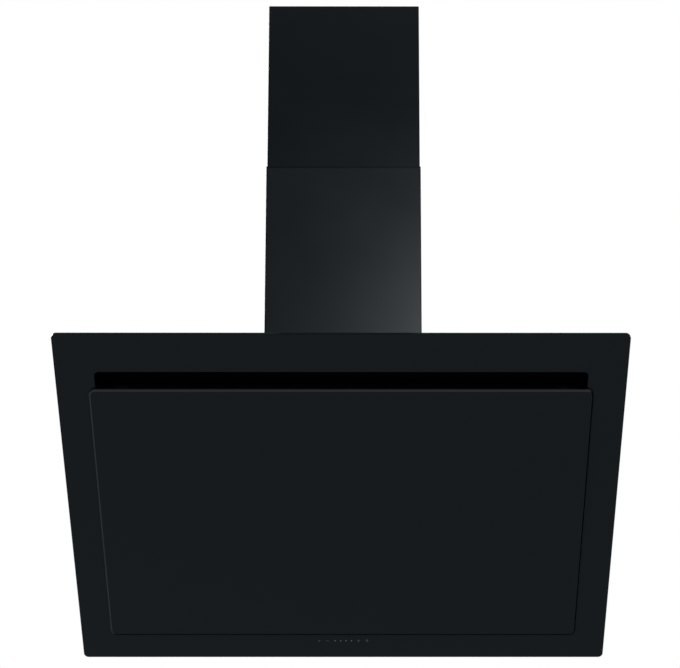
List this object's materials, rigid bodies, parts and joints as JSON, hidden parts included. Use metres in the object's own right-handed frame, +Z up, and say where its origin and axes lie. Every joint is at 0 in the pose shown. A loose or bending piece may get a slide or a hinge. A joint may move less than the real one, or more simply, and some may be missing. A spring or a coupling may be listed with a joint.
{
  "type": "chimney range hood",
  "caption": "Wall-hung range hood: inclined black glass front with a hinged suction flap, grease filters, blower, duct collar with dampers, touch strip, lamps and telescopic chimney.",
  "frame": {"origin": "midway between the two hanging holes, on the wall plane", "axes": "+X to the right as the user faces the hood, +Y into the wall, +Z up"},
  "size_m": [0.89, 0.4985, 1.1149],
  "materials": {
    "front_glass": "polished black glass, touch marks printed on its lower edge",
    "flap_glass": "polished black glass",
    "body_paint": "satin black",
    "lower_cover_paint": "satin black",
    "upper_cover_paint": "satin black",
    "zinc_steel": "zinc plated",
    "galvanised_steel": "galvanised, spangled",
    "screw_steel": "zinc plated",
    "filter_aluminium": "anodised",
    "mesh_aluminium": "expanded mesh",
    "black_plastic": "matt black",
    "white_plastic": "matt white",
    "magnet": "dark ferrite",
    "rubber": "matt",
    "foam": "closed-cell foam",
    "motor_aluminium": "die cast",
    "bush_bronze": "sintered",
    "lamp_lens": "frosted",
    "circuit_board": "solder mask",
    "capacitor_can": "plain can"
  },
  "bodies": {
    "hood": {"front_glass": "front_glass", "glass_ring": "body_paint", "rear_panel": "body_paint", "side_panel_left": "body_paint", "side_panel_right": "body_paint", "top_panel": "body_paint", "bottom_panel": "body_paint", "hang_plates": "zinc_steel", "filter_carrier": "body_paint", "lower_baffle": "body_paint", "ring_screws": "screw_steel", "hinge_bracket_left": "zinc_steel", "hinge_bracket_right": "zinc_steel", "hinge_pins": "screw_steel", "magnet_holder_left": "black_plastic", "magnet_holder_right": "black_plastic", "catch_magnets": "magnet", "filter_frame_left": "filter_aluminium", "filter_frame_right": "filter_aluminium", "filter_mesh_left": "mesh_aluminium", "filter_mesh_right": "mesh_aluminium", "scroll_half_left": "galvanised_steel", "scroll_half_right": "galvanised_steel", "motor_body": "motor_aluminium", "motor_bushes": "bush_bronze", "motor_bracket": "zinc_steel", "motor_screws": "screw_steel", "inlet_guard": "black_plastic", "outlet_gasket": "foam", "outlet_adapter": "black_plastic", "outlet_screws": "screw_steel", "lower_chimney": "lower_cover_paint", "chimney_clips": "zinc_steel", "lamp_case_left": "black_plastic", "lamp_case_right": "black_plastic", "lamp_boards": "circuit_board", "lamp_lens_left": "lamp_lens", "lamp_lens_right": "lamp_lens", "touch_module": "black_plastic", "electronics_case": "white_plastic", "power_board": "circuit_board", "electronics_lid": "white_plastic", "run_capacitor": "capacitor_can", "capacitor_clip": "zinc_steel", "cable_gland": "black_plastic"},
    "flap": {"flap_glass": "flap_glass", "flap_tray": "body_paint", "flap_bumpers": "rubber", "hinge_arm_left": "zinc_steel", "hinge_arm_right": "zinc_steel"},
    "upper_cover": {"upper_chimney": "upper_cover_paint", "chimney_strip": "zinc_steel", "chimney_screws": "screw_steel"},
    "fan_rotor": {"blower_wheel": "galvanised_steel", "motor_shaft": "screw_steel"},
    "rear_damper": {"damper_rear": "black_plastic"},
    "front_damper": {"damper_front": "black_plastic"},
    "left_latch": {"filter_latch_left": "black_plastic"},
    "right_latch": {"filter_latch_right": "black_plastic"}
  },
  "joints": [
    {"name": "flap_hinge", "type": "hinge", "parent": "hood", "child": "flap", "pos_m": [0, -0.10579, -0.3604], "axis": [1, 0, 0], "range_deg": [0, 75]},
    {"name": "chimney_slide", "type": "slide", "parent": "hood", "child": "upper_cover", "axis": [0, 0, 1], "range_m": [-0.187, 0.083]},
    {"name": "fan_spin", "type": "hinge", "parent": "hood", "child": "fan_rotor", "pos_m": [0, -0.11, -0.06], "axis": [1, 0, 0], "continuous": true},
    {"name": "rear_damper_hinge", "type": "hinge", "parent": "hood", "child": "rear_damper", "pos_m": [0, -0.1665, 0.0839], "axis": [1, 0, 0], "range_deg": [0, 75]},
    {"name": "front_damper_hinge", "type": "hinge", "parent": "hood", "child": "front_damper", "pos_m": [0, -0.1805, 0.0839], "axis": [-1, 0, 0], "range_deg": [0, 75]},
    {"name": "left_latch_slide", "type": "slide", "parent": "hood", "child": "left_latch", "axis": [0, 0.6428, -0.766], "range_m": [0, 0.0069], "stiffness_N_per_m": 600, "springref_m": -0.005},
    {"name": "right_latch_slide", "type": "slide", "parent": "hood", "child": "right_latch", "axis": [0, 0.6428, -0.766], "range_m": [0, 0.0069], "stiffness_N_per_m": 600, "springref_m": -0.005}
  ]
}
